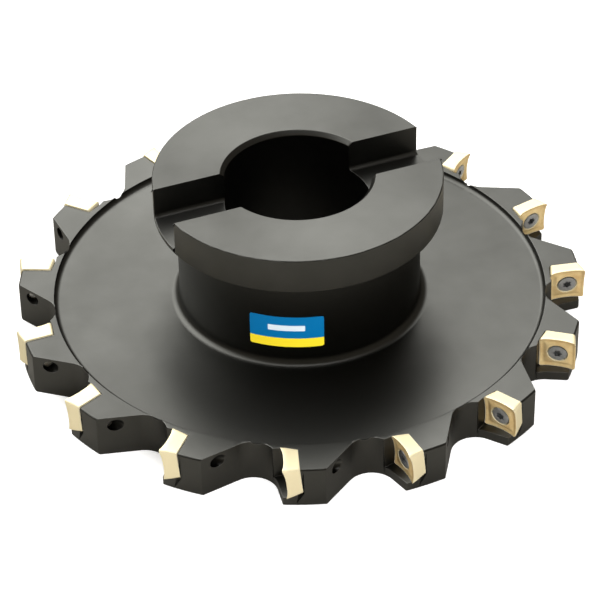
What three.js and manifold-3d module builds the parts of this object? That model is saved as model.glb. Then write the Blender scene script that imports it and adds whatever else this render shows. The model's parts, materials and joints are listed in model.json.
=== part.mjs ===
// Indexable disc milling cutter with a flanged hub: a steel body, fifteen square carbide inserts,
// the fifteen screws that clamp them, and a small label on the neck. Millimetres, +Z along the
// spindle axis, origin on that axis in the plane of the body's bottom face.

import * as THREE from 'three';
import { mergeVertices } from 'three/addons/utils/BufferGeometryUtils.js';
import Module from 'manifold-3d';

const wasm = await Module();
wasm.setup();

// Driving dimensions.
const CUT_RADIUS = 80;
const TOOTH_COUNT = 15;
const TOOTH_PITCH = (2 * Math.PI) / TOOTH_COUNT;
const FIRST_TOOTH_ANGLE = THREE.MathUtils.degToRad(5);
const TURN_SEGMENTS = 75;

// Hub and flange.
const HEIGHT = 50;
const BORE_RADIUS = 20;
const BORE_CHAMFER = 1.15;
const FLANGE_RADIUS = 39.5;
const FLANGE_THICKNESS = 10.4;
const EDGE_CHAMFER = 0.5;
const NECK_RADIUS = 33.4;
const NECK_TOP_FILLET = 1;
const NECK_FOOT_FILLET = 3.2;
const SLOT_WIDTH = 16.4;
const SLOT_DEPTH = 9;
const SLOT_CORNER = 1.2;
const COUNTERBORE_RADIUS = 28;
const COUNTERBORE_DEPTH = 12;

// Disc and teeth.
const DISC_THICKNESS = 10.8;
const TOOTH_THICKNESS = 12.3;
const TOOTH_RADIUS = 78.5;
const RIM_RADIUS = 68.3;
const TOOTH_BACK_ANGLE = THREE.MathUtils.degToRad(8.2);
const GULLET_RADIUS = 6.7;
const GULLET_CENTRE = new THREE.Vector2(71.3, 22.8);

// Inserts, their seats and their screws.
const INSERT_SIDE = 10;
const INSERT_THICKNESS = 4.5;
const INSERT_TOP = 13.1;
const INSERT_RELIEF = THREE.MathUtils.degToRad(11);
const CORNER_ACROSS = 12.4;
const CHIP_RIM_WIDTH = 0.7;
const CHIP_RIM_HEIGHT = 0.35;
const CHIP_SLOPE = 0.4;
const AXIAL_TILT = THREE.MathUtils.degToRad(6);
const RADIAL_TILT = THREE.MathUtils.degToRad(7);
const SEAT_GAP = 0.3;
const SINK_RADIUS = 3;
const SINK_DEPTH = 2;
const INSERT_HOLE_RADIUS = 2.15;
const SCREW_HOLE_RADIUS = 2.05;
const HEAD_RADIUS = 2.5;
const HEAD_TOP = -0.5;
const HEAD_LAND = 0.3;
const HEAD_CONE = 1.6;
const SHANK_RADIUS = 1.7;
const SCREW_TIP = -11.5;
const SCREW_TIP_CHAMFER = 0.6;
const DRIVE_RADIUS = 1.3;
const DRIVE_DEPTH = 1.3;

// Label on the neck.
const LABEL_CENTRE_ANGLE = THREE.MathUtils.degToRad(-117.6);
const LABEL_SPAN = THREE.MathUtils.degToRad(34.6);
const LABEL_THICKNESS = 0.3;
const LABEL_HEIGHT = 10;
const LABEL_BOTTOM = 16.8;

const steel = new THREE.MeshStandardMaterial({ color: 0x5d5f5a, roughness: 0.5, metalness: 0.8 });
const gold = new THREE.MeshStandardMaterial({ color: 0xd9b463, roughness: 0.35, metalness: 0.8 });
const screwSteel = new THREE.MeshStandardMaterial({ color: 0x59636e, roughness: 0.4, metalness: 0.9 });
const labelFilm = new THREE.MeshStandardMaterial({ color: 0x0a5a9c, roughness: 0.4, metalness: 0 });

// A closed geometry as a solid for cutting and joining.
function solid(geometry) {
  const bare = geometry.clone();
  bare.deleteAttribute('normal');
  bare.deleteAttribute('uv');
  const merged = mergeVertices(bare, 1e-4);
  const vertProperties = new Float32Array(merged.attributes.position.array);
  const triVerts = new Uint32Array(merged.index.array);
  return new wasm.Manifold(new wasm.Mesh({ numProp: 3, vertProperties, triVerts }));
}

// A solid back as a geometry.
function geometryOf(manifold) {
  const mesh = manifold.getMesh();
  const geometry = new THREE.BufferGeometry();
  geometry.setAttribute('position', new THREE.BufferAttribute(mesh.vertProperties, 3));
  geometry.setIndex(new THREE.BufferAttribute(mesh.triVerts, 1));
  geometry.computeVertexNormals();
  return geometry;
}

// A closed outline of radius and height, turned about Z.
function turned(points, segments) {
  return new THREE.LatheGeometry(points, segments).rotateX(Math.PI / 2);
}

// A square block along Z that widens from its back face to its front face at z = 0.
function squareTaper(halfFront, halfBack, depth) {
  const block = new THREE.CylinderGeometry(halfFront * Math.SQRT2, halfBack * Math.SQRT2, depth, 4);
  return block.rotateY(Math.PI / 4).rotateX(Math.PI / 2).translate(0, 0, -depth / 2);
}

// The body's turned outline, from the counterbore mouth up the bore, over the flange, down the
// neck and out along the disc to the tooth ring.
function bodyOutline() {
  const flangeBottom = HEIGHT - FLANGE_THICKNESS;
  const step = TOOTH_THICKNESS - DISC_THICKNESS;
  const outline = new THREE.Path();
  outline.moveTo(COUNTERBORE_RADIUS + EDGE_CHAMFER, 0);
  outline.lineTo(TOOTH_RADIUS, 0);
  outline.lineTo(TOOTH_RADIUS, TOOTH_THICKNESS);
  outline.lineTo(RIM_RADIUS + 0.1, TOOTH_THICKNESS);
  outline.absarc(RIM_RADIUS - step, TOOTH_THICKNESS, step, 0, -Math.PI / 2, true);
  outline.absarc(
    NECK_RADIUS + NECK_FOOT_FILLET, DISC_THICKNESS + NECK_FOOT_FILLET, NECK_FOOT_FILLET,
    -Math.PI / 2, -Math.PI, true,
  );
  outline.absarc(
    NECK_RADIUS + NECK_TOP_FILLET, flangeBottom - NECK_TOP_FILLET, NECK_TOP_FILLET,
    Math.PI, Math.PI / 2, true,
  );
  outline.lineTo(FLANGE_RADIUS - EDGE_CHAMFER, flangeBottom);
  outline.lineTo(FLANGE_RADIUS, flangeBottom + EDGE_CHAMFER);
  outline.lineTo(FLANGE_RADIUS, HEIGHT - EDGE_CHAMFER);
  outline.lineTo(FLANGE_RADIUS - EDGE_CHAMFER, HEIGHT);
  outline.lineTo(BORE_RADIUS + BORE_CHAMFER, HEIGHT);
  outline.lineTo(BORE_RADIUS, HEIGHT - BORE_CHAMFER);
  outline.lineTo(BORE_RADIUS, COUNTERBORE_DEPTH);
  outline.lineTo(COUNTERBORE_RADIUS, COUNTERBORE_DEPTH);
  outline.lineTo(COUNTERBORE_RADIUS, EDGE_CHAMFER);
  outline.closePath();
  return outline.getPoints(3);
}

// The chip gullet behind a tooth, in plan: down the tooth's back, round the floor and up to the
// front of the next tooth, then closed outside the cutter. Tangents join the lines to the floor.
function gulletPrism() {
  const back = new THREE.Vector2(TOOTH_RADIUS, 0).rotateAround(new THREE.Vector2(), TOOTH_BACK_ANGLE);
  const front = new THREE.Vector2(TOOTH_RADIUS, 0).rotateAround(new THREE.Vector2(), TOOTH_PITCH);
  const backRay = back.clone().sub(GULLET_CENTRE);
  const frontRay = front.clone().sub(GULLET_CENTRE);
  const startAngle = backRay.angle() - Math.acos(GULLET_RADIUS / backRay.length());
  const endAngle = frontRay.angle() + Math.acos(GULLET_RADIUS / frontRay.length());
  const onFloor = (angle) => new THREE.Vector2(Math.cos(angle), Math.sin(angle))
    .multiplyScalar(GULLET_RADIUS).add(GULLET_CENTRE);
  const overrun = 1.5;
  const outside = (corner, angle) => onFloor(angle).lerp(corner, overrun);
  const shape = new THREE.Shape();
  const backOutside = outside(back, startAngle);
  const backFoot = onFloor(startAngle);
  const frontOutside = outside(front, endAngle);
  shape.moveTo(backOutside.x, backOutside.y);
  shape.lineTo(backFoot.x, backFoot.y);
  shape.absarc(GULLET_CENTRE.x, GULLET_CENTRE.y, GULLET_RADIUS, startAngle, endAngle, true);
  shape.lineTo(frontOutside.x, frontOutside.y);
  shape.closePath();
  return new THREE.ExtrudeGeometry(shape, {
    depth: TOOTH_THICKNESS + 2, bevelEnabled: false, curveSegments: 8,
  }).translate(0, 0, -1);
}

// The frame of one insert: origin at the middle of its rake face, +X outward along the face,
// +Y up along it and +Z out of it, so that the top leads and the outer edge trails.
function seatMatrix(toothAngle) {
  const turn = new THREE.Matrix4().makeRotationFromEuler(
    new THREE.Euler(Math.PI / 2 + AXIAL_TILT, 0, RADIAL_TILT, 'ZXY'),
  );
  const half = INSERT_SIDE / 2;
  const toCorner = new THREE.Vector3(half, half, 0).applyMatrix4(turn);
  const centre = new THREE.Vector3(CUT_RADIUS, 0, INSERT_TOP).sub(toCorner);
  return new THREE.Matrix4().makeRotationZ(toothAngle).multiply(turn.setPosition(centre));
}

// What is milled away for one insert: the tapered seat, the room in front of it, the relief in
// the inner corner and the tapped hole that runs out through the back of the tooth.
function pocketCutter() {
  const half = INSERT_SIDE / 2 + SEAT_GAP;
  const depth = INSERT_THICKNESS + SEAT_GAP;
  const reach = 4;
  const taper = depth * Math.tan(INSERT_RELIEF);
  const seat = squareTaper(half + reach, half + reach - taper, depth).translate(reach, reach, 0);
  const clear = 9;
  const size = 2 * (half + reach);
  const room = new THREE.BoxGeometry(size, size, clear + 0.5)
    .translate(reach, reach, (clear - 0.5) / 2);
  const reliefRadius = 0.9;
  const relief = new THREE.CylinderGeometry(reliefRadius, reliefRadius, depth, 8)
    .rotateX(Math.PI / 2).translate(taper - half, taper - half, -depth / 2);
  const holeLength = 16;
  const hole = new THREE.CylinderGeometry(SCREW_HOLE_RADIUS, SCREW_HOLE_RADIUS, holeLength, 12)
    .rotateX(Math.PI / 2).translate(0, 0, -depth + 0.5 - holeLength / 2);
  return solid(seat).add(solid(room)).add(solid(relief)).add(solid(hole));
}

// One milled cross slot over the bore for the two drive keys, round in its lower corners.
function driveSlot() {
  const half = SLOT_WIDTH / 2;
  const floor = HEIGHT - SLOT_DEPTH;
  const top = HEIGHT + 1;
  const shape = new THREE.Shape();
  shape.moveTo(half, top);
  shape.lineTo(-half, top);
  shape.absarc(-half + SLOT_CORNER, floor + SLOT_CORNER, SLOT_CORNER, Math.PI, 1.5 * Math.PI);
  shape.absarc(half - SLOT_CORNER, floor + SLOT_CORNER, SLOT_CORNER, -Math.PI / 2, 0);
  shape.closePath();
  const length = 2 * FLANGE_RADIUS + 4;
  const prism = new THREE.ExtrudeGeometry(shape, {
    depth: length, bevelEnabled: false, curveSegments: 4,
  });
  return prism.translate(0, 0, -length / 2).rotateX(Math.PI / 2).rotateZ(Math.PI / 2);
}

function cutterBody() {
  let body = solid(turned(bodyOutline(), TURN_SEGMENTS)).subtract(solid(driveSlot()));
  const gullet = gulletPrism();
  const pocket = geometryOf(pocketCutter());
  for (let i = 0; i < TOOTH_COUNT; i += 1) {
    const angle = FIRST_TOOTH_ANGLE + i * TOOTH_PITCH;
    body = body.subtract(solid(gullet.clone().rotateZ(angle)));
    body = body.subtract(solid(pocket.clone().applyMatrix4(seatMatrix(angle))));
  }
  return geometryOf(body);
}

// A square carbide insert with chamfered corners, relieved sides, a raised chip-breaking rim and
// a countersunk hole. Its rake face is at z = 0.
function insert() {
  const half = INSERT_SIDE / 2;
  const taper = INSERT_THICKNESS * Math.tan(INSERT_RELIEF);
  const corner = CORNER_ACROSS / 2;
  const corners = squareTaper(corner, corner - taper, INSERT_THICKNESS).rotateZ(Math.PI / 4);
  const rimInside = half - CHIP_RIM_WIDTH;
  const hollow = squareTaper(rimInside + CHIP_SLOPE, rimInside - CHIP_SLOPE, 2 * CHIP_RIM_HEIGHT)
    .translate(0, 0, CHIP_RIM_HEIGHT);
  const hole = [
    new THREE.Vector2(0, -INSERT_THICKNESS - 0.5),
    new THREE.Vector2(INSERT_HOLE_RADIUS, -INSERT_THICKNESS - 0.5),
    new THREE.Vector2(INSERT_HOLE_RADIUS, -SINK_DEPTH),
    new THREE.Vector2(SINK_RADIUS, -CHIP_RIM_HEIGHT),
    new THREE.Vector2(SINK_RADIUS, 0.5),
    new THREE.Vector2(0, 0.5),
  ];
  const block = squareTaper(half, half - taper, INSERT_THICKNESS);
  return geometryOf(
    solid(block).intersect(solid(corners)).subtract(solid(hollow)).subtract(solid(turned(hole, 12))),
  );
}

// The countersunk clamping screw, in the insert's frame, with a six-sided key recess.
function insertScrew() {
  const outline = [
    new THREE.Vector2(0, SCREW_TIP),
    new THREE.Vector2(SHANK_RADIUS - SCREW_TIP_CHAMFER, SCREW_TIP),
    new THREE.Vector2(SHANK_RADIUS, SCREW_TIP + SCREW_TIP_CHAMFER),
    new THREE.Vector2(SHANK_RADIUS, HEAD_TOP - HEAD_LAND - HEAD_CONE),
    new THREE.Vector2(HEAD_RADIUS, HEAD_TOP - HEAD_LAND),
    new THREE.Vector2(HEAD_RADIUS, HEAD_TOP),
    new THREE.Vector2(0, HEAD_TOP),
  ];
  const recess = new THREE.CylinderGeometry(DRIVE_RADIUS, DRIVE_RADIUS, 2 * DRIVE_DEPTH, 6)
    .rotateX(Math.PI / 2).translate(0, 0, HEAD_TOP);
  return geometryOf(solid(turned(outline, 12)).subtract(solid(recess)));
}

// A thin film bent round the neck, just off its surface.
function neckLabel() {
  const inner = NECK_RADIUS + SEAT_GAP;
  const outer = inner + LABEL_THICKNESS;
  const shape = new THREE.Shape();
  const start = LABEL_CENTRE_ANGLE - LABEL_SPAN / 2;
  const end = LABEL_CENTRE_ANGLE + LABEL_SPAN / 2;
  shape.absarc(0, 0, outer, start, end, false);
  shape.absarc(0, 0, inner, end, start, true);
  shape.closePath();
  return new THREE.ExtrudeGeometry(shape, {
    depth: LABEL_HEIGHT, bevelEnabled: false, curveSegments: 12,
  }).translate(0, 0, LABEL_BOTTOM);
}

const cutter = new THREE.Group();

function place(name, geometry, material, parent) {
  const mesh = new THREE.Mesh(geometry, material);
  mesh.name = name;
  parent.add(mesh);
}

place('cutter_body', cutterBody(), steel, cutter);
place('neck_label', neckLabel(), labelFilm, cutter);

const insertGeometry = insert();
const screwGeometry = insertScrew();
for (let i = 0; i < TOOTH_COUNT; i += 1) {
  const seat = new THREE.Group();
  seatMatrix(FIRST_TOOTH_ANGLE + i * TOOTH_PITCH).decompose(seat.position, seat.quaternion, seat.scale);
  const number = String(i + 1).padStart(2, '0');
  place(`insert_${number}`, insertGeometry, gold, seat);
  place(`insert_screw_${number}`, screwGeometry, screwSteel, seat);
  cutter.add(seat);
}

export default cutter;
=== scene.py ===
import json
import math

import bmesh
import bpy
from mathutils import Matrix, Quaternion, Vector

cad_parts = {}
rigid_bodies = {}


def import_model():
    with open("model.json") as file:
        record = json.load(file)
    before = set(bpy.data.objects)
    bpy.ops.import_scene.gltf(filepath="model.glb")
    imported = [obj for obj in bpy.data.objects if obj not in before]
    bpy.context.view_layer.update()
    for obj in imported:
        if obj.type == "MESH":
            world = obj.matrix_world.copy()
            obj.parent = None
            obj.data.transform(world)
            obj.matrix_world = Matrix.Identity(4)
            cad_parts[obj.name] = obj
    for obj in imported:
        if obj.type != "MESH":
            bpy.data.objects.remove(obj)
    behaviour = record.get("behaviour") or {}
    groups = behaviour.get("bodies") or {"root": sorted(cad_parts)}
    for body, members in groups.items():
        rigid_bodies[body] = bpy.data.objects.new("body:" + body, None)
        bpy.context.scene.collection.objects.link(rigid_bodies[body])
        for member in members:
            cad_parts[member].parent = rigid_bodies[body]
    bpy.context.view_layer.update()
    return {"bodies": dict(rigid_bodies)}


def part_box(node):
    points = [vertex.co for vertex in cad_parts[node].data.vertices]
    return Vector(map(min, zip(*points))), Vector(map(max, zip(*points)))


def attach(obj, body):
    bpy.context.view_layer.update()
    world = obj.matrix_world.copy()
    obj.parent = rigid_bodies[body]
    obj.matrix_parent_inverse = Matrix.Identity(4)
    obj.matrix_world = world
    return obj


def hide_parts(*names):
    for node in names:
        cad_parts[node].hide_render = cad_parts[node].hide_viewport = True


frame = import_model()
mm = 0.001


# ---- The studio ----------------------------------------------------------------------------
# A plain floor in a dark room with one broad bright panel high up behind the cutter, so that
# upward faces read mid grey and upright steel reads dark. The camera is a long lens.

studio = bpy.context.scene
studio.view_settings.view_transform = "Standard"

camera_aim = Vector((0, 0, 6.84 * mm))
camera_distance = 806.4 * mm
camera_azimuth = math.radians(-21.1)
camera_height = math.radians(37.74)
camera_roll = math.radians(-1.04)

bpy.ops.object.select_all(action="DESELECT")
bpy.ops.object.camera_add()
camera = bpy.context.object
camera.name = "camera"
camera.data.sensor_width = 36
camera.data.lens = 173.07
camera.data.clip_start = 0.05
camera.data.clip_end = 50
away = Vector((
    math.sin(camera_azimuth) * math.cos(camera_height),
    -math.cos(camera_azimuth) * math.cos(camera_height),
    math.sin(camera_height),
))
camera.location = camera_aim + away * camera_distance
camera.rotation_mode = "QUATERNION"
camera.rotation_quaternion = (-away).to_track_quat("-Z", "Y") @ Quaternion((0, 0, 1), camera_roll)
studio.camera = camera

bpy.ops.object.select_all(action="DESELECT")
floor_gap = 0.05 * mm
bpy.ops.mesh.primitive_plane_add(size=8, location=(0, 0, -floor_gap))
floor = bpy.context.object
floor.name = "studio_floor"

# Camera rays meet a nearly white floor, and the steel mirrors a darker one.
floor_paint = bpy.data.materials.new("floor_paint")
floor_paint.use_nodes = True
floor_shader = floor_paint.node_tree.nodes["Principled BSDF"]
floor_sight = floor_paint.node_tree.nodes.new("ShaderNodeLightPath")
floor_shade = floor_paint.node_tree.nodes.new("ShaderNodeMix")
floor_shade.data_type = "RGBA"
floor_shade.inputs["A"].default_value = (0.34, 0.325, 0.295, 1)
floor_shade.inputs["B"].default_value = (0.95, 0.95, 0.95, 1)
floor_paint.node_tree.links.new(floor_sight.outputs["Is Camera Ray"], floor_shade.inputs["Factor"])
floor_paint.node_tree.links.new(floor_shade.outputs["Result"], floor_shader.inputs["Base Color"])
floor_lift = floor_paint.node_tree.nodes.new("ShaderNodeMapRange")
floor_lift.inputs["To Max"].default_value = 0.4
floor_paint.node_tree.links.new(floor_sight.outputs["Is Camera Ray"], floor_lift.inputs["Value"])
floor_paint.node_tree.links.new(floor_lift.outputs["Result"], floor_shader.inputs["Emission Strength"])
floor_shader.inputs["Emission Color"].default_value = (1, 1, 1, 1)
floor_shader.inputs["Roughness"].default_value = 0.9
floor_shader.inputs["Specular IOR Level"].default_value = 0
floor.data.materials.append(floor_paint)

# The room: the panel stands behind and to the left, and the camera's side is dark. Camera rays
# meet a white backdrop.
to_the_left = Vector((-math.cos(camera_azimuth), -math.sin(camera_azimuth), 0))
to_the_back = Vector((-math.sin(camera_azimuth), math.cos(camera_azimuth), 0))
panel_side = (to_the_back + 0.75 * to_the_left).normalized()
room = bpy.data.worlds.new("room")
studio.world = room
room.use_nodes = True
room_nodes = room.node_tree.nodes
room_links = room.node_tree.links
room_nodes.clear()
direction = room_nodes.new("ShaderNodeTexCoord")
room_axes = room_nodes.new("ShaderNodeSeparateXYZ")
room_links.new(direction.outputs["Generated"], room_axes.inputs["Vector"])
towards_panel = room_nodes.new("ShaderNodeVectorMath")
towards_panel.operation = "DOT_PRODUCT"
towards_panel.inputs[1].default_value = panel_side
room_links.new(direction.outputs["Generated"], towards_panel.inputs[0])
panel_reach = room_nodes.new("ShaderNodeMapRange")
panel_reach.interpolation_type = "SMOOTHSTEP"
panel_reach.inputs["From Min"].default_value = 0.10
panel_reach.inputs["From Max"].default_value = 0.75
room_links.new(towards_panel.outputs["Value"], panel_reach.inputs["Value"])
panel_foot = room_nodes.new("ShaderNodeMapRange")
panel_foot.interpolation_type = "SMOOTHSTEP"
panel_foot.inputs["From Min"].default_value = 0.36
panel_foot.inputs["From Max"].default_value = 0.60
room_links.new(room_axes.outputs["Z"], panel_foot.inputs["Value"])
panel_mask = room_nodes.new("ShaderNodeMath")
panel_mask.operation = "MULTIPLY"
room_links.new(panel_reach.outputs["Result"], panel_mask.inputs[0])
room_links.new(panel_foot.outputs["Result"], panel_mask.inputs[1])
shades = room_nodes.new("ShaderNodeMix")
shades.data_type = "RGBA"
shades.inputs["A"].default_value = (0.03, 0.027, 0.022, 1)
shades.inputs["B"].default_value = (1.0, 1.0, 0.96, 1)
room_links.new(panel_mask.outputs["Value"], shades.inputs["Factor"])
sight = room_nodes.new("ShaderNodeLightPath")
room_light = room_nodes.new("ShaderNodeBackground")
room_light.inputs["Strength"].default_value = 4.7
room_links.new(shades.outputs["Result"], room_light.inputs["Color"])
backdrop = room_nodes.new("ShaderNodeBackground")
backdrop.inputs["Color"].default_value = (1, 1, 1, 1)
either = room_nodes.new("ShaderNodeMixShader")
room_links.new(sight.outputs["Is Camera Ray"], either.inputs["Fac"])
room_links.new(room_light.outputs["Background"], either.inputs[1])
room_links.new(backdrop.outputs["Background"], either.inputs[2])
room_out = room_nodes.new("ShaderNodeOutputWorld")
room_links.new(either.outputs["Shader"], room_out.inputs["Surface"])


def soft_light(name, size, place, watts):
    """One square soft light that faces the cutter."""
    bpy.ops.object.select_all(action="DESELECT")
    bpy.ops.object.light_add(type="AREA", location=place)
    lamp = bpy.context.object
    lamp.name = name
    lamp.data.shape = "SQUARE"
    lamp.data.size = size
    lamp.data.energy = watts
    lamp.rotation_mode = "QUATERNION"
    lamp.rotation_quaternion = (camera_aim - Vector(place)).to_track_quat("-Z", "Y")
    return lamp


soft_light("overhead_light", 1.2, (-0.2, 0.2, 1.9), 4)
soft_light("front_light", 0.5, (-0.1, -0.4, 1.7), 3)

# The fill lights the label and the inserts' coating, and stays out of the steel's reflections.
front_fill = soft_light("front_fill", 0.8, (-0.1, -1.4, 0.8), 30)
front_fill.visible_glossy = False


# ---- The cutter body -----------------------------------------------------------------------
# One piece of hardened steel, turned all round, then milled for the drive slot, the chip
# gullets and the insert seats, drilled for the screws, and blackened to a satin oxide finish.

body_low, body_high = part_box("cutter_body")
tooth_count = sum(name.startswith("insert_body_") for name in frame["bodies"])
tooth_pitch = 2 * math.pi / tooth_count
first_tooth = math.radians(5)
total_height = round(body_high.z - body_low.z, 6)
bore_radius = 20 * mm
bore_chamfer = 1.15 * mm
flange_radius = 39.5 * mm
flange_bottom = total_height - 10.4 * mm
neck_radius = 33.4 * mm
neck_top_fillet = 1 * mm
neck_foot_fillet = 2.4 * mm
counterbore_radius = 28 * mm
counterbore_depth = 12 * mm
disc_top = 10.8 * mm
tooth_top = 12.3 * mm
tooth_radius = 78.5 * mm
rim_radius = 68.3 * mm
edge_break = 0.4 * mm
turn_steps = 240


def arc(centre_r, centre_z, radius, start, end, steps):
    """Points of radius and height on a round stretch of the turned outline."""
    for i in range(steps + 1):
        angle = math.radians(start + (end - start) * i / steps)
        yield centre_r + radius * math.cos(angle), centre_z + radius * math.sin(angle)


rim_fillet = tooth_top - disc_top
turned_outline = [
    (tooth_radius, edge_break),
    (tooth_radius, tooth_top - edge_break),
    (tooth_radius - edge_break, tooth_top),
    *arc(rim_radius - rim_fillet, tooth_top, rim_fillet, 0, -90, 8),
    *arc(neck_radius + neck_foot_fillet, disc_top + neck_foot_fillet, neck_foot_fillet, -90, -180, 14),
    *arc(neck_radius + neck_top_fillet, flange_bottom - neck_top_fillet, neck_top_fillet, 180, 90, 6),
    *arc(flange_radius - edge_break, flange_bottom + edge_break, edge_break, -90, 0, 3),
    *arc(flange_radius - edge_break, total_height - edge_break, edge_break, 0, 90, 3),
    (bore_radius + bore_chamfer, total_height),
    (bore_radius, total_height - bore_chamfer),
    (bore_radius, counterbore_depth + edge_break),
    (bore_radius + edge_break, counterbore_depth),
    (counterbore_radius, counterbore_depth),
    (counterbore_radius, edge_break),
    (counterbore_radius + edge_break, 0),
]


def turn_up(outline):
    """Extrudes the selected ring from point to point of a turned outline, as a lathe would."""
    for radius, height in outline:
        ring = [v.co for v in bmesh.from_edit_mesh(bpy.context.object.data).verts if v.select]
        lift = height - ring[0].z
        grow = radius / math.hypot(ring[0].x, ring[0].y)
        bpy.ops.mesh.extrude_region_move(TRANSFORM_OT_translate={"value": (0, 0, lift)})
        bpy.ops.transform.resize(value=(grow, grow, 1), center_override=(0, 0, height))


def select_edges(piece, wanted):
    """Selects the edges of a piece, in edit mode, whose two ends pass a test."""
    bpy.ops.mesh.select_mode(type="EDGE")
    bpy.ops.mesh.select_all(action="DESELECT")
    shape = bmesh.from_edit_mesh(piece.data)
    for edge in shape.edges:
        if wanted(edge):
            edge.select_set(True)
    shape.select_flush_mode()
    bmesh.update_edit_mesh(piece.data)


bpy.ops.object.select_all(action="DESELECT")
bpy.ops.mesh.primitive_circle_add(
    vertices=turn_steps, radius=tooth_radius - edge_break, fill_type="NOTHING",
)
milled_body = bpy.context.object
milled_body.name = "milled_body"
bpy.ops.object.mode_set(mode="EDIT")
bpy.ops.mesh.select_all(action="SELECT")
turn_up(turned_outline)
select_edges(milled_body, lambda edge: edge.is_boundary)
bpy.ops.mesh.bridge_edge_loops()
bpy.ops.mesh.select_all(action="SELECT")
bpy.ops.mesh.normals_make_consistent(inside=False)
bpy.ops.object.mode_set(mode="OBJECT")


def cut_away(piece, tool):
    """Cuts one closed mesh out of a piece and throws the tool away."""
    cut = piece.modifiers.new("cut", "BOOLEAN")
    cut.operation = "DIFFERENCE"
    cut.solver = "EXACT"
    cut.object = tool
    bpy.ops.object.select_all(action="DESELECT")
    bpy.context.view_layer.objects.active = piece
    piece.select_set(True)
    bpy.ops.object.modifier_apply(modifier="cut")
    bpy.data.objects.remove(tool)


def round_the_teeth(tool, place):
    """Puts a cutting tool in its place on the first tooth and repeats it on every other one."""
    tool.data.transform(Matrix.Rotation(first_tooth, 4, "Z") @ place)
    bpy.ops.object.select_all(action="DESELECT")
    bpy.context.view_layer.objects.active = tool
    tool.select_set(True)
    bpy.ops.object.mode_set(mode="EDIT")
    bpy.ops.mesh.select_all(action="SELECT")
    bpy.ops.mesh.spin(
        steps=tooth_count - 1, angle=(tooth_count - 1) * tooth_pitch, dupli=True,
        center=(0, 0, 0), axis=(0, 0, 1),
    )
    bpy.ops.object.mode_set(mode="OBJECT")


# The drive slot: a milled way right across the flange, round in its lower corners.
slot_width = 16.4 * mm
slot_depth = 9 * mm
slot_corner = 1.2 * mm
slot_over = 3 * mm

bpy.ops.object.select_all(action="DESELECT")
slot_middle = total_height + (slot_over - slot_depth) / 2
bpy.ops.mesh.primitive_cube_add(size=1, location=(0, 0, slot_middle))
slot_tool = bpy.context.object
slot_tool.scale = (2 * flange_radius + 4 * slot_over, slot_width, slot_depth + slot_over)
bpy.ops.object.transform_apply(location=True, rotation=False, scale=True)
bpy.ops.object.mode_set(mode="EDIT")
select_edges(slot_tool, lambda edge: all(v.co.z < slot_middle for v in edge.verts)
             and abs(edge.verts[0].co.y - edge.verts[1].co.y) < mm)
bpy.ops.mesh.bevel(offset=slot_corner, segments=6)
bpy.ops.object.mode_set(mode="OBJECT")
cut_away(milled_body, slot_tool)

# The chip gullets: a round floor with straight flanks that run out tangent to it.
gullet_radius = 6.7 * mm
gullet_centre = Vector((71.3 * mm, 22.8 * mm))
tooth_width = math.radians(8.2)
tooth_back = Vector((tooth_radius, 0)) @ Matrix.Rotation(-tooth_width, 2)
next_tooth_front = Vector((tooth_radius, 0)) @ Matrix.Rotation(-tooth_pitch, 2)


def flank_foot(corner, side):
    """The point on the gullet floor where the flank through a tooth corner starts."""
    ray = corner - gullet_centre
    turn = side * math.acos(gullet_radius / ray.length)
    angle = math.atan2(ray.y, ray.x) + turn
    return gullet_centre + gullet_radius * Vector((math.cos(angle), math.sin(angle)))


back_foot = flank_foot(tooth_back, -1)
front_foot = flank_foot(next_tooth_front, 1)
flank_overrun = 1.5
back_end = back_foot.lerp(tooth_back, flank_overrun)
front_end = front_foot.lerp(next_tooth_front, flank_overrun)
sweep = (back_foot - gullet_centre).angle_signed(front_foot - gullet_centre) % (2 * math.pi)
below = -2 * mm

bpy.ops.object.select_all(action="DESELECT")
bpy.ops.mesh.primitive_plane_add(size=mm, location=(0, 0, 0))
gullet_tool = bpy.context.object
bpy.ops.object.mode_set(mode="EDIT")
bpy.ops.mesh.select_mode(type="VERT")
bpy.ops.mesh.select_all(action="SELECT")
bpy.ops.mesh.merge(type="CENTER")
bpy.ops.transform.translate(value=(*back_foot, below))
bpy.ops.mesh.spin(
    steps=26, angle=sweep, center=(*gullet_centre, below), axis=(0, 0, 1),
)
bpy.ops.mesh.extrude_region_move(
    TRANSFORM_OT_translate={"value": (*(front_end - front_foot), 0)},
)
bpy.ops.mesh.extrude_region_move(
    TRANSFORM_OT_translate={"value": (*(back_end - front_end), 0)},
)
bpy.ops.mesh.select_all(action="SELECT")
bpy.ops.mesh.remove_doubles(threshold=0.001 * mm)
bpy.ops.mesh.edge_face_add()
bpy.ops.mesh.extrude_region_move(
    TRANSFORM_OT_translate={"value": (0, 0, tooth_top - 2 * below)},
)
bpy.ops.mesh.select_all(action="SELECT")
bpy.ops.mesh.normals_make_consistent(inside=False)
bpy.ops.object.mode_set(mode="OBJECT")
round_the_teeth(gullet_tool, Matrix.Identity(4))
cut_away(milled_body, gullet_tool)

# The insert seats. Each has its own frame: origin at the middle of the rake face, +X outward
# along it, +Y up along it and +Z out of it. The top leads by 6 degrees and the outer edge
# trails by 7.
insert_side = 10 * mm
insert_thickness = 4.5 * mm
insert_top = 13.1 * mm
cut_radius = 80 * mm
insert_relief = math.radians(11)
seat_gap = 0.12 * mm
seat_side_gap = 0.2 * mm
half_side = insert_side / 2
outer_lean = math.radians(7)
top_lean = math.radians(6)
upright = math.radians(90)
lean = Matrix.Rotation(outer_lean, 4, "Z") @ Matrix.Rotation(upright + top_lean, 4, "X")
seat_centre = Vector((cut_radius, 0, insert_top)) - lean @ Vector((half_side, half_side, 0))
seat_frame = Matrix.Translation(seat_centre) @ lean

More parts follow.
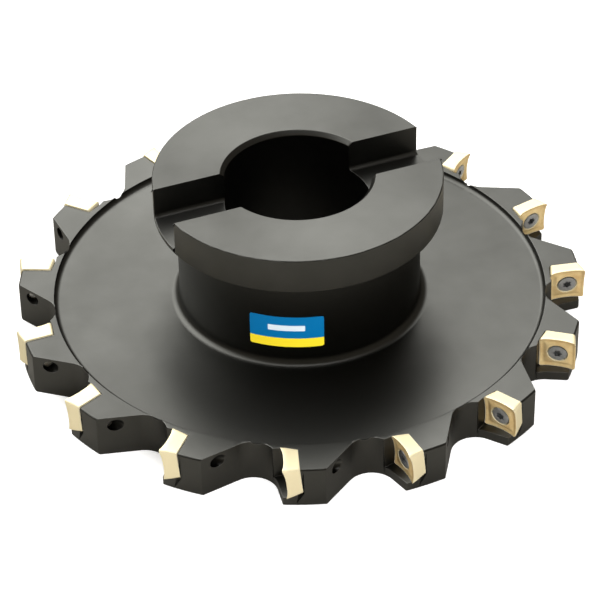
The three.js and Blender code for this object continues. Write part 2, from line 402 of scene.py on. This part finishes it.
# The seat cutter: a tapered pocket, open upwards and outwards, with room for the insert's way out.
seat_reach = 4 * mm
seat_depth = insert_thickness + seat_gap
seat_taper = seat_depth * math.tan(insert_relief)
seat_half = half_side + seat_side_gap
top_half = seat_half + seat_reach
floor_half = top_half - seat_taper
way_out = 9 * mm

bpy.ops.object.select_all(action="DESELECT")
bpy.ops.mesh.primitive_plane_add(size=2 * floor_half, location=(0, 0, -seat_depth))
seat_tool = bpy.context.object
bpy.ops.object.transform_apply(location=True, rotation=False, scale=False)
bpy.ops.object.mode_set(mode="EDIT")
bpy.ops.mesh.select_all(action="SELECT")
bpy.ops.mesh.extrude_region_move(TRANSFORM_OT_translate={"value": (0, 0, seat_depth)})
bpy.ops.transform.resize(
    value=(top_half / floor_half, top_half / floor_half, 1), center_override=(0, 0, 0),
)
bpy.ops.mesh.extrude_region_move(TRANSFORM_OT_translate={"value": (0, 0, way_out)})
bpy.ops.mesh.select_all(action="SELECT")
bpy.ops.transform.translate(value=(seat_reach, seat_reach, 0))
bpy.ops.mesh.normals_make_consistent(inside=False)
bpy.ops.object.mode_set(mode="OBJECT")
round_the_teeth(seat_tool, seat_frame)
cut_away(milled_body, seat_tool)


def drill(radius, near, far, x=0.0, y=0.0, sides=32):
    """A drill along a seat's screw axis, between two depths, repeated on every tooth."""
    bpy.ops.object.select_all(action="DESELECT")
    bpy.ops.mesh.primitive_cylinder_add(
        vertices=sides, radius=radius, depth=near - far, location=(x, y, (near + far) / 2),
    )
    tool = bpy.context.object
    bpy.ops.object.transform_apply(location=True, rotation=True, scale=True)
    round_the_teeth(tool, seat_frame)
    return tool


# The screw hole runs right through the tooth, and a small hole relieves the seat's inner corner.
screw_hole_radius = 1.78 * mm
screw_hole_start = -insert_thickness + 0.5 * mm
screw_hole_end = -24 * mm
relief_radius = 0.8 * mm
relief_start = -0.4 * mm
relief_end = -seat_depth - 0.25 * mm
relief_place = seat_taper - seat_half + 0.15 * mm
cut_away(milled_body, drill(screw_hole_radius, screw_hole_start, screw_hole_end))
cut_away(milled_body, drill(
    relief_radius, relief_start, relief_end, relief_place, relief_place, sides=24,
))

# The sharp edges are broken with a narrow rounded bevel, and the shading follows the large faces.
soften = milled_body.modifiers.new("soften", "BEVEL")
soften.width = 0.16 * mm
soften.segments = 2
soften.limit_method = "ANGLE"
soften.angle_limit = math.radians(38)
soften.use_clamp_overlap = False
bpy.ops.object.select_all(action="DESELECT")
bpy.context.view_layer.objects.active = milled_body
milled_body.select_set(True)
bpy.ops.object.modifier_apply(modifier="soften")
bpy.ops.object.shade_smooth_by_angle(angle=math.radians(30))
flatten = milled_body.modifiers.new("flatten", "WEIGHTED_NORMAL")
flatten.keep_sharp = True
bpy.ops.object.modifier_apply(modifier="flatten")


# The oxide's look comes from three effects: blotches left by a chemical finish, the fine rings
# of a lathe tool, and a painted edge highlight. The inserts and the screws use some of them again.


def new_effect(name, inputs, outputs):
    """An empty shader node group with number or colour sockets."""
    group = bpy.data.node_groups.new(name, "ShaderNodeTree")
    for socket, kind, value in inputs:
        made = group.interface.new_socket(socket, in_out="INPUT", socket_type=kind)
        if value is not None:
            made.default_value = value
    for socket, kind in outputs:
        group.interface.new_socket(socket, in_out="OUTPUT", socket_type=kind)
    return group, group.nodes.new("NodeGroupInput"), group.nodes.new("NodeGroupOutput")


def place_effect(material, group, **values):
    """A group set in a material, with its own input values."""
    node = material.node_tree.nodes.new("ShaderNodeGroup")
    node.node_tree = group
    for socket, value in values.items():
        node.inputs[socket.replace("_", " ")].default_value = value
    return node


# Blotches: a colour that drifts between two shades, and a value that goes with it.
blotches, blotch_in, blotch_out = new_effect(
    "finish_blotches",
    [
        ("Light Shade", "NodeSocketColor", (0.3, 0.3, 0.3, 1)),
        ("Dark Shade", "NodeSocketColor", (0.2, 0.2, 0.2, 1)),
        ("Size", "NodeSocketFloat", 60.0),
    ],
    [("Color", "NodeSocketColor"), ("Value", "NodeSocketFloat")],
)
spot_place = blotches.nodes.new("ShaderNodeTexCoord")
wide_spots = blotches.nodes.new("ShaderNodeTexNoise")
wide_spots.inputs["Detail"].default_value = 5
wide_spots.inputs["Roughness"].default_value = 0.62
spot_edge = blotches.nodes.new("ShaderNodeMapRange")
spot_edge.inputs["From Min"].default_value = 0.3
spot_edge.inputs["From Max"].default_value = 0.7
spot_mix = blotches.nodes.new("ShaderNodeMix")
spot_mix.data_type = "RGBA"
blotches.links.new(spot_place.outputs["Object"], wide_spots.inputs["Vector"])
blotches.links.new(blotch_in.outputs["Size"], wide_spots.inputs["Scale"])
blotches.links.new(wide_spots.outputs["Fac"], spot_edge.inputs["Value"])
blotches.links.new(spot_edge.outputs["Result"], spot_mix.inputs["Factor"])
blotches.links.new(blotch_in.outputs["Dark Shade"], spot_mix.inputs["A"])
blotches.links.new(blotch_in.outputs["Light Shade"], spot_mix.inputs["B"])
blotches.links.new(spot_mix.outputs["Result"], blotch_out.inputs["Color"])
blotches.links.new(spot_edge.outputs["Result"], blotch_out.inputs["Value"])

# Lathe rings: a height that changes only with the distance from the axis and the height on it.
rings, rings_in, rings_out = new_effect(
    "lathe_rings",
    [("Pitch", "NodeSocketFloat", 3000.0)],
    [("Height", "NodeSocketFloat")],
)
ring_place = rings.nodes.new("ShaderNodeTexCoord")
ring_parts = rings.nodes.new("ShaderNodeSeparateXYZ")
ring_flat = rings.nodes.new("ShaderNodeCombineXYZ")
ring_length = rings.nodes.new("ShaderNodeVectorMath")
ring_length.operation = "LENGTH"
ring_line = rings.nodes.new("ShaderNodeCombineXYZ")
ring_noise = rings.nodes.new("ShaderNodeTexNoise")
ring_noise.inputs["Detail"].default_value = 3
rings.links.new(ring_place.outputs["Object"], ring_parts.inputs["Vector"])
rings.links.new(ring_parts.outputs["X"], ring_flat.inputs["X"])
rings.links.new(ring_parts.outputs["Y"], ring_flat.inputs["Y"])
rings.links.new(ring_flat.outputs["Vector"], ring_length.inputs[0])
rings.links.new(ring_length.outputs["Value"], ring_line.inputs["X"])
rings.links.new(ring_parts.outputs["Z"], ring_line.inputs["Y"])
rings.links.new(ring_line.outputs["Vector"], ring_noise.inputs["Vector"])
rings.links.new(rings_in.outputs["Pitch"], ring_noise.inputs["Scale"])
rings.links.new(ring_noise.outputs["Fac"], rings_out.inputs["Height"])

# Painted edge highlight: a mask, 0 on open faces and up to 1 along sharp edges, that paints them
# lighter.
edge_highlight, edge_highlight_in, edge_highlight_out = new_effect(
    "painted_edge_highlight",
    [("Width", "NodeSocketFloat", 0.25 * mm)],
    [("Mask", "NodeSocketFloat")],
)
true_face = edge_highlight.nodes.new("ShaderNodeNewGeometry")
round_face = edge_highlight.nodes.new("ShaderNodeBevel")
round_face.samples = 4
turned_by = edge_highlight.nodes.new("ShaderNodeVectorMath")
turned_by.operation = "DOT_PRODUCT"
edge_highlight_range = edge_highlight.nodes.new("ShaderNodeMapRange")
edge_highlight_range.inputs["From Min"].default_value = 0.995
edge_highlight_range.inputs["From Max"].default_value = 0.90
edge_highlight.links.new(edge_highlight_in.outputs["Width"], round_face.inputs["Radius"])
edge_highlight.links.new(true_face.outputs["Normal"], turned_by.inputs[0])
edge_highlight.links.new(round_face.outputs["Normal"], turned_by.inputs[1])
edge_highlight.links.new(turned_by.outputs["Value"], edge_highlight_range.inputs["Value"])
edge_highlight.links.new(edge_highlight_range.outputs["Result"], edge_highlight_out.inputs["Mask"])


black_oxide = bpy.data.materials.new("black_oxide")
black_oxide.use_nodes = True
oxide_nodes = black_oxide.node_tree.nodes
oxide_links = black_oxide.node_tree.links
oxide_shader = oxide_nodes["Principled BSDF"]
oxide_shader.inputs["Metallic"].default_value = 1
oxide_blotches = place_effect(
    black_oxide, blotches,
    Light_Shade=(0.106, 0.106, 0.101, 1), Dark_Shade=(0.093, 0.093, 0.088, 1), Size=45.0,
)
# Painted highlight: the oxide is painted a lighter grey along its sharp edges.
oxide_edge_mask = place_effect(black_oxide, edge_highlight)
oxide_edge_highlight = oxide_nodes.new("ShaderNodeMix")
oxide_edge_highlight.data_type = "RGBA"
oxide_edge_highlight.inputs["B"].default_value = (0.16, 0.16, 0.155, 1)
oxide_links.new(oxide_edge_mask.outputs["Mask"], oxide_edge_highlight.inputs["Factor"])
oxide_links.new(oxide_blotches.outputs["Color"], oxide_edge_highlight.inputs["A"])
oxide_links.new(oxide_edge_highlight.outputs["Result"], oxide_shader.inputs["Base Color"])
oxide_sheen = oxide_nodes.new("ShaderNodeMapRange")
oxide_sheen.inputs["To Min"].default_value = 0.42
oxide_sheen.inputs["To Max"].default_value = 0.37
oxide_links.new(oxide_blotches.outputs["Value"], oxide_sheen.inputs["Value"])
oxide_links.new(oxide_sheen.outputs["Result"], oxide_shader.inputs["Roughness"])
oxide_shader.inputs["Anisotropic"].default_value = 0.6
oxide_turning = oxide_nodes.new("ShaderNodeTangent")
oxide_turning.direction_type = "RADIAL"
oxide_turning.axis = "Z"
oxide_links.new(oxide_turning.outputs["Tangent"], oxide_shader.inputs["Tangent"])
oxide_rings = place_effect(black_oxide, rings, Pitch=2600.0)
oxide_bump = oxide_nodes.new("ShaderNodeBump")
oxide_bump.inputs["Strength"].default_value = 0.12
oxide_bump.inputs["Distance"].default_value = 0.02 * mm
oxide_links.new(oxide_rings.outputs["Height"], oxide_bump.inputs["Height"])
oxide_links.new(oxide_bump.outputs["Normal"], oxide_shader.inputs["Normal"])
milled_body.data.materials.clear()
milled_body.data.materials.append(black_oxide)

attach(milled_body, "cutter")
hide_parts("cutter_body")


# ---- The label on the neck -----------------------------------------------------------------
# A small printed plastic film stuck to the neck: blue over yellow, with a plain white bar in
# the blue. One upright edge is swept round the neck, and the strip is thickened outwards.

label_centre = math.radians(-117.6)
label_width = 20.2 * mm
label_height = 10 * mm
label_bottom = 16.8 * mm
label_corner = 0.7 * mm
label_film_thickness = 0.09 * mm
label_glue = 0.02 * mm
label_strips = 28
label_radius = neck_radius + label_glue
label_sweep = label_width / neck_radius

# The sweep runs clockwise from above, so it starts at the label's anticlockwise end.
label_start = label_centre + label_sweep / 2

bpy.ops.object.select_all(action="DESELECT")
bpy.ops.mesh.primitive_plane_add(size=mm)
label = bpy.context.object
label.name = "printed_label"
bpy.ops.object.mode_set(mode="EDIT")
bpy.ops.mesh.select_mode(type="VERT")
bpy.ops.mesh.select_all(action="SELECT")
bpy.ops.mesh.merge(type="CENTER")
bpy.ops.transform.translate(value=(
    label_radius * math.cos(label_start), label_radius * math.sin(label_start), label_bottom,
))
bpy.ops.mesh.extrude_region_move(TRANSFORM_OT_translate={"value": (0, 0, label_height)})
bpy.ops.mesh.select_all(action="SELECT")
bpy.ops.mesh.spin(steps=label_strips, angle=label_sweep, center=(0, 0, 0), axis=(0, 0, 1))
bpy.ops.mesh.select_all(action="SELECT")
bpy.ops.mesh.remove_doubles(threshold=0.001 * mm)
bpy.ops.mesh.select_all(action="DESELECT")
label_shape = bmesh.from_edit_mesh(label.data)
for corner in label_shape.verts:
    corner.select_set(len(corner.link_edges) == 2)
bmesh.update_edit_mesh(label.data)
bpy.ops.mesh.bevel(offset=label_corner, affect="VERTICES", segments=5)
bpy.ops.mesh.select_all(action="SELECT")
bpy.ops.mesh.normals_make_consistent(inside=False)
bpy.ops.object.mode_set(mode="OBJECT")
film = label.modifiers.new("film", "SOLIDIFY")
film.thickness = label_film_thickness
film.offset = 1
bpy.ops.object.select_all(action="DESELECT")
bpy.context.view_layer.objects.active = label
label.select_set(True)
bpy.ops.object.modifier_apply(modifier="film")
bpy.ops.object.shade_smooth_by_angle(angle=math.radians(30))

printed_film = bpy.data.materials.new("printed_film")
printed_film.use_nodes = True
print_nodes = printed_film.node_tree.nodes
print_links = printed_film.node_tree.links
print_shader = print_nodes["Principled BSDF"]
print_shader.inputs["Coat Weight"].default_value = 0.3
print_shader.inputs["Coat Roughness"].default_value = 0.2
print_place = print_nodes.new("ShaderNodeTexCoord")
print_parts = print_nodes.new("ShaderNodeSeparateXYZ")
print_links.new(print_place.outputs["Object"], print_parts.inputs["Vector"])


def print_band(value, low, high, soft):
    """1 between two values of an output and 0 outside, with a thin soft edge."""
    rise = print_nodes.new("ShaderNodeMapRange")
    rise.inputs["From Min"].default_value = low - soft
    rise.inputs["From Max"].default_value = low + soft
    fall = print_nodes.new("ShaderNodeMapRange")
    fall.inputs["From Min"].default_value = high + soft
    fall.inputs["From Max"].default_value = high - soft
    both = print_nodes.new("ShaderNodeMath")
    both.operation = "MULTIPLY"
    print_links.new(value, rise.inputs["Value"])
    print_links.new(value, fall.inputs["Value"])
    print_links.new(rise.outputs["Result"], both.inputs[0])
    print_links.new(fall.outputs["Result"], both.inputs[1])
    return both.outputs["Value"]


def print_over(below, mask, colour):
    """A printed colour laid over another where a mask says."""
    layer = print_nodes.new("ShaderNodeMix")
    layer.data_type = "RGBA"
    layer.inputs["B"].default_value = colour
    print_links.new(mask, layer.inputs["Factor"])
    if isinstance(below, tuple):
        layer.inputs["A"].default_value = below
    else:
        print_links.new(below, layer.inputs["A"])
    return layer.outputs["Result"]


round_neck = print_nodes.new("ShaderNodeMath")
round_neck.operation = "ARCTAN2"
print_links.new(print_parts.outputs["Y"], round_neck.inputs[0])
print_links.new(print_parts.outputs["X"], round_neck.inputs[1])
blue_bottom = label_bottom + 2.9 * mm
blue_top = label_bottom + 2 * label_height
bar_bottom = label_bottom + 5.4 * mm
bar_top = bar_bottom + 1.8 * mm
bar_half_angle = 0.15
blue_zone = print_band(print_parts.outputs["Z"], blue_bottom, blue_top, 0.05 * mm)
bar_rows = print_band(print_parts.outputs["Z"], bar_bottom, bar_top, 0.06 * mm)
bar_columns = print_band(
    round_neck.outputs["Value"], label_centre - bar_half_angle, label_centre + bar_half_angle, 0.002,
)
bar_mask = print_nodes.new("ShaderNodeMath")
bar_mask.operation = "MULTIPLY"
print_links.new(bar_rows, bar_mask.inputs[0])
print_links.new(bar_columns, bar_mask.inputs[1])
blue_over_yellow = print_over((1.0, 0.78, 0.03, 1), blue_zone, (0.0, 0.16, 0.40, 1))
with_bar = print_over(blue_over_yellow, bar_mask.outputs["Value"], (0.75, 0.85, 0.93, 1))
print_links.new(with_bar, print_shader.inputs["Base Color"])
print_grain = print_nodes.new("ShaderNodeTexNoise")
print_grain.inputs["Scale"].default_value = 900
print_links.new(print_place.outputs["Object"], print_grain.inputs["Vector"])
print_gloss = print_nodes.new("ShaderNodeMapRange")
print_gloss.inputs["To Min"].default_value = 0.35
print_gloss.inputs["To Max"].default_value = 0.5
print_links.new(print_grain.outputs["Fac"], print_gloss.inputs["Value"])
print_links.new(print_gloss.outputs["Result"], print_shader.inputs["Roughness"])
label.data.materials.append(printed_film)

# The steel round the label doesn't mirror its bright colours.
label.visible_glossy = False

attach(label, "cutter")
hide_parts("neck_label")


# ---- The inserts ---------------------------------------------------------------------------
# Square cemented-carbide cutting inserts, pressed and sintered with wavy edges and a
# chip-breaking groove, ground on the sides and coated with golden titanium nitride.

insert_corner = 0.8 * mm
edge_cuts = 11
wave_depth = 0.72 * mm
upper_flank = 1.7 * mm
hone = 0.06 * mm

bpy.ops.object.select_all(action="DESELECT")
bpy.ops.mesh.primitive_plane_add(size=insert_side, location=(0, 0, -hone))
insert_pattern = bpy.context.object
insert_pattern.name = "insert_pattern"
bpy.ops.object.transform_apply(location=True, rotation=False, scale=False)
bpy.ops.object.mode_set(mode="EDIT")
select_edges(insert_pattern, lambda edge: True)
bpy.ops.mesh.bevel(offset=insert_corner, affect="VERTICES", segments=6)
select_edges(insert_pattern, lambda edge: edge.calc_length() > insert_corner * 2)
bpy.ops.mesh.subdivide(number_cuts=edge_cuts)
select_edges(insert_pattern, lambda edge: edge.is_boundary)
flank_scale = 1 - upper_flank * math.tan(insert_relief * 0.8) / half_side
bpy.ops.mesh.extrude_region_move(TRANSFORM_OT_translate={"value": (0, 0, -upper_flank)})
bpy.ops.transform.resize(value=(flank_scale, flank_scale, 1))
lower_flank = insert_thickness - upper_flank
back_scale = (half_side - insert_thickness * math.tan(insert_relief)) / (half_side * flank_scale)
bpy.ops.mesh.extrude_region_move(TRANSFORM_OT_translate={"value": (0, 0, -lower_flank)})
bpy.ops.transform.resize(value=(back_scale, back_scale, 1))
bpy.ops.mesh.edge_face_add()

# The rake face goes inwards in rings: a hone, a land, the chip-breaking groove and a boss. Each
# pair is how far in from the side a ring lies, and how far below the top.
bpy.ops.mesh.select_mode(type="FACE")
bpy.ops.mesh.select_all(action="DESELECT")
insert_shape = bmesh.from_edit_mesh(insert_pattern.data)
max(insert_shape.faces, key=lambda face: face.calc_center_median().z).select_set(True)
bmesh.update_edit_mesh(insert_pattern.data)
for reach, sink in [
    (hone * 0.3, -hone * 0.7),
    (hone, 0.0),
    (0.20 * mm, 0.0),
    (0.38 * mm, 0.05 * mm),
    (0.60 * mm, 0.24 * mm),
    (0.85 * mm, 0.38 * mm),
    (1.15 * mm, 0.43 * mm),
    (1.50 * mm, 0.38 * mm),
    (1.80 * mm, 0.28 * mm),
]:
    rim = max(v.co.x for v in bmesh.from_edit_mesh(insert_pattern.data).verts if v.select)
    level = max(v.co.z for v in bmesh.from_edit_mesh(insert_pattern.data).verts if v.select)
    shrink = (half_side - reach) / rim
    bpy.ops.mesh.extrude_region_move(TRANSFORM_OT_translate={"value": (0, 0, -sink - level)})
    bpy.ops.transform.resize(value=(shrink, shrink, 1), center_override=(0, 0, 0))
bpy.ops.mesh.select_all(action="SELECT")
bpy.ops.mesh.normals_make_consistent(inside=False)
bpy.ops.object.mode_set(mode="OBJECT")

# Each side dips in a wave towards its middle, and the dip fades out down the flank.
for vertex in insert_pattern.data.vertices:
    along = min(abs(vertex.co.x), abs(vertex.co.y)) / half_side
    outer = max(abs(vertex.co.x), abs(vertex.co.y)) / half_side
    near_face = max(0, 1 + vertex.co.z / upper_flank)
    dip = wave_depth * (1 - along ** 2.4) * outer ** 2 * min(1, near_face * 1.6)
    vertex.co.z -= dip

# The countersunk hole: a cutter turned to the hole's outline.
hole_radius = 2.15 * mm
bpy.ops.object.select_all(action="DESELECT")
bpy.ops.mesh.primitive_circle_add(vertices=48, radius=hole_radius, location=(0, 0, -6 * mm))
sink_tool = bpy.context.object
bpy.ops.object.transform_apply(location=True, rotation=False, scale=False)
bpy.ops.object.mode_set(mode="EDIT")
bpy.ops.mesh.select_all(action="SELECT")
bpy.ops.mesh.edge_face_add()
turn_up([
    (hole_radius, -2.0 * mm),
    (2.75 * mm, -0.95 * mm),
    (2.9 * mm, -0.5 * mm),
    (3.0 * mm, 1 * mm),
])
bpy.ops.mesh.select_all(action="SELECT")
bpy.ops.mesh.normals_make_consistent(inside=False)
bpy.ops.object.mode_set(mode="OBJECT")
cut_away(insert_pattern, sink_tool)

bpy.ops.object.shade_smooth_by_angle(angle=math.radians(35))

golden_nitride = bpy.data.materials.new("golden_nitride")
golden_nitride.use_nodes = True
nitride_nodes = golden_nitride.node_tree.nodes
nitride_links = golden_nitride.node_tree.links
nitride_shader = nitride_nodes["Principled BSDF"]
nitride_shader.inputs["Metallic"].default_value = 0.55
nitride_blotches = place_effect(
    golden_nitride, blotches,
    Light_Shade=(0.98, 0.77, 0.40, 1), Dark_Shade=(0.78, 0.54, 0.24, 1), Size=260.0,
)
# The ground flanks face outwards or up and are painted paler than the pressed face, a painted
# highlight; the pressed face looks round the rim: its normal lies along the way out crossed with the
# axis.
nitride_place = nitride_nodes.new("ShaderNodeTexCoord")
round_rim = nitride_nodes.new("ShaderNodeVectorMath")
round_rim.operation = "CROSS_PRODUCT"
round_rim.inputs[1].default_value = (0, 0, 1)
round_rim_unit = nitride_nodes.new("ShaderNodeVectorMath")
round_rim_unit.operation = "NORMALIZE"
faces_round = nitride_nodes.new("ShaderNodeVectorMath")
faces_round.operation = "DOT_PRODUCT"
flank_highlight_mask = nitride_nodes.new("ShaderNodeMapRange")
flank_highlight_mask.inputs["From Min"].default_value = 0.85
flank_highlight_mask.inputs["From Max"].default_value = 0.55
nitride_flank_highlight = nitride_nodes.new("ShaderNodeMix")
nitride_flank_highlight.data_type = "RGBA"
nitride_flank_highlight.inputs["B"].default_value = (1.0, 0.88, 0.58, 1)
nitride_links.new(nitride_place.outputs["Object"], round_rim.inputs[0])
nitride_links.new(round_rim.outputs["Vector"], round_rim_unit.inputs[0])
nitride_links.new(round_rim_unit.outputs["Vector"], faces_round.inputs[0])
nitride_links.new(nitride_place.outputs["Normal"], faces_round.inputs[1])
nitride_links.new(faces_round.outputs["Value"], flank_highlight_mask.inputs["Value"])
nitride_links.new(flank_highlight_mask.outputs["Result"], nitride_flank_highlight.inputs["Factor"])
nitride_links.new(nitride_blotches.outputs["Color"], nitride_flank_highlight.inputs["A"])
# Painted highlight: the coating is painted pale cream along its sharp edges.
nitride_edge_mask = place_effect(golden_nitride, edge_highlight, Width=0.16 * mm)
nitride_edge_highlight = nitride_nodes.new("ShaderNodeMix")
nitride_edge_highlight.data_type = "RGBA"
nitride_edge_highlight.inputs["B"].default_value = (1.0, 0.95, 0.78, 1)
nitride_links.new(nitride_edge_mask.outputs["Mask"], nitride_edge_highlight.inputs["Factor"])
nitride_links.new(nitride_flank_highlight.outputs["Result"], nitride_edge_highlight.inputs["A"])
nitride_links.new(nitride_edge_highlight.outputs["Result"], nitride_shader.inputs["Base Color"])
nitride_sheen = nitride_nodes.new("ShaderNodeMapRange")
nitride_sheen.inputs["To Min"].default_value = 0.55
nitride_sheen.inputs["To Max"].default_value = 0.42
nitride_links.new(nitride_blotches.outputs["Value"], nitride_sheen.inputs["Value"])
nitride_links.new(nitride_sheen.outputs["Result"], nitride_shader.inputs["Roughness"])
nitride_grain = nitride_nodes.new("ShaderNodeTexNoise")
nitride_grain.inputs["Scale"].default_value = 6000
nitride_links.new(nitride_place.outputs["Object"], nitride_grain.inputs["Vector"])
nitride_bump = nitride_nodes.new("ShaderNodeBump")
nitride_bump.inputs["Strength"].default_value = 0.1
nitride_bump.inputs["Distance"].default_value = 0.01 * mm
nitride_links.new(nitride_grain.outputs["Fac"], nitride_bump.inputs["Height"])
nitride_links.new(nitride_bump.outputs["Normal"], nitride_shader.inputs["Normal"])
insert_pattern.data.materials.clear()
insert_pattern.data.materials.append(golden_nitride)


# ---- The clamping screws -------------------------------------------------------------------
# Countersunk hardened screws with a six-lobed key recess and a fine thread, one through each
# insert into its tooth, with a heat-blued finish.

head_radius = 2.6 * mm
head_top = -0.5 * mm
shank_radius = 1.7 * mm
thread_root = 1.42 * mm
thread_pitch = 0.7 * mm
thread_start = -3.2 * mm
screw_tip = -11.5 * mm
thread_turns = 11

bpy.ops.object.select_all(action="DESELECT")
bpy.ops.mesh.primitive_circle_add(vertices=36, radius=1.1 * mm, location=(0, 0, screw_tip))
screw_pattern = bpy.context.object
screw_pattern.name = "screw_pattern"
bpy.ops.object.transform_apply(location=True, rotation=False, scale=False)
bpy.ops.object.mode_set(mode="EDIT")
bpy.ops.mesh.select_all(action="SELECT")
bpy.ops.mesh.edge_face_add()
thread_outline = [(thread_root, screw_tip + 0.35 * mm)]
for i in range(thread_turns):
    foot = screw_tip + 0.35 * mm + i * thread_pitch
    thread_outline += [
        (shank_radius, foot + 0.28 * thread_pitch),
        (shank_radius, foot + 0.42 * thread_pitch),
        (thread_root, foot + 0.72 * thread_pitch),
        (thread_root, foot + 1.00 * thread_pitch),
    ]
turn_up([
    *thread_outline,
    (1.55 * mm, thread_start),
    (1.6 * mm, -2.4 * mm),
    (head_radius - 0.06 * mm, head_top - 0.42 * mm),
    (head_radius, head_top - 0.34 * mm),
    (head_radius, head_top - 0.12 * mm),
    (head_radius - 0.12 * mm, head_top),
])
bpy.ops.mesh.select_all(action="SELECT")
bpy.ops.mesh.normals_make_consistent(inside=False)
bpy.ops.object.mode_set(mode="OBJECT")

# The key recess: a six-lobed star sunk into the head, with a small lead-in.
star_radius = 1.28 * mm
star_lobe = 0.2 * mm
star_depth = 1.35 * mm
bpy.ops.object.select_all(action="DESELECT")
bpy.ops.mesh.primitive_cylinder_add(
    vertices=60, radius=star_radius, depth=2 * star_depth, location=(0, 0, head_top),
)
star_tool = bpy.context.object
bpy.ops.object.transform_apply(location=True, rotation=False, scale=False)
for vertex in star_tool.data.vertices:
    angle = math.atan2(vertex.co.y, vertex.co.x)
    reach = star_radius - star_lobe + star_lobe * math.cos(6 * angle)
    vertex.co.x = reach * math.cos(angle)
    vertex.co.y = reach * math.sin(angle)
cut_away(screw_pattern, star_tool)
bpy.ops.object.shade_smooth_by_angle(angle=math.radians(32))

blued_steel = bpy.data.materials.new("blued_steel")
blued_steel.use_nodes = True
blued_nodes = blued_steel.node_tree.nodes
blued_links = blued_steel.node_tree.links
blued_shader = blued_nodes["Principled BSDF"]
blued_shader.inputs["Metallic"].default_value = 1
blued_blotches = place_effect(
    blued_steel, blotches,
    Light_Shade=(0.72, 0.74, 0.77, 1), Dark_Shade=(0.48, 0.50, 0.53, 1), Size=500.0,
)
blued_links.new(blued_blotches.outputs["Color"], blued_shader.inputs["Base Color"])
blued_sheen = blued_nodes.new("ShaderNodeMapRange")
blued_sheen.inputs["To Min"].default_value = 0.42
blued_sheen.inputs["To Max"].default_value = 0.28
blued_links.new(blued_blotches.outputs["Value"], blued_sheen.inputs["Value"])
blued_links.new(blued_sheen.outputs["Result"], blued_shader.inputs["Roughness"])
screw_pattern.data.materials.clear()
screw_pattern.data.materials.append(blued_steel)


# ---- Fifteen inserts and screws round the rim ----------------------------------------------
# Each tooth holds one insert in its seat and one screw that clamps it, so each gets its own
# copy of both pieces. Every screw is turned to a different angle, as tightening leaves it.

def set_in_seat(pattern, name, seat, body, node):
    """One copy of a pattern with its own mesh, placed in a seat and tied to its CAD node."""
    piece = pattern.copy()
    piece.data = pattern.data.copy()
    piece.name = name
    piece.data.transform(seat)
    studio.collection.objects.link(piece)
    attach(piece, body)
    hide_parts(node)


for i in range(tooth_count):
    number = f"{i + 1:02d}"
    seat = Matrix.Rotation(first_tooth + i * tooth_pitch, 4, "Z") @ seat_frame
    set_in_seat(insert_pattern, f"coated_insert_{number}", seat,
                f"insert_body_{number}", f"insert_{number}")
    key_turn = Matrix.Rotation(math.radians(37 * i), 4, "Z")
    set_in_seat(screw_pattern, f"clamp_screw_{number}", seat @ key_turn,
                f"screw_body_{number}", f"insert_screw_{number}")
bpy.data.objects.remove(insert_pattern)
bpy.data.objects.remove(screw_pattern)
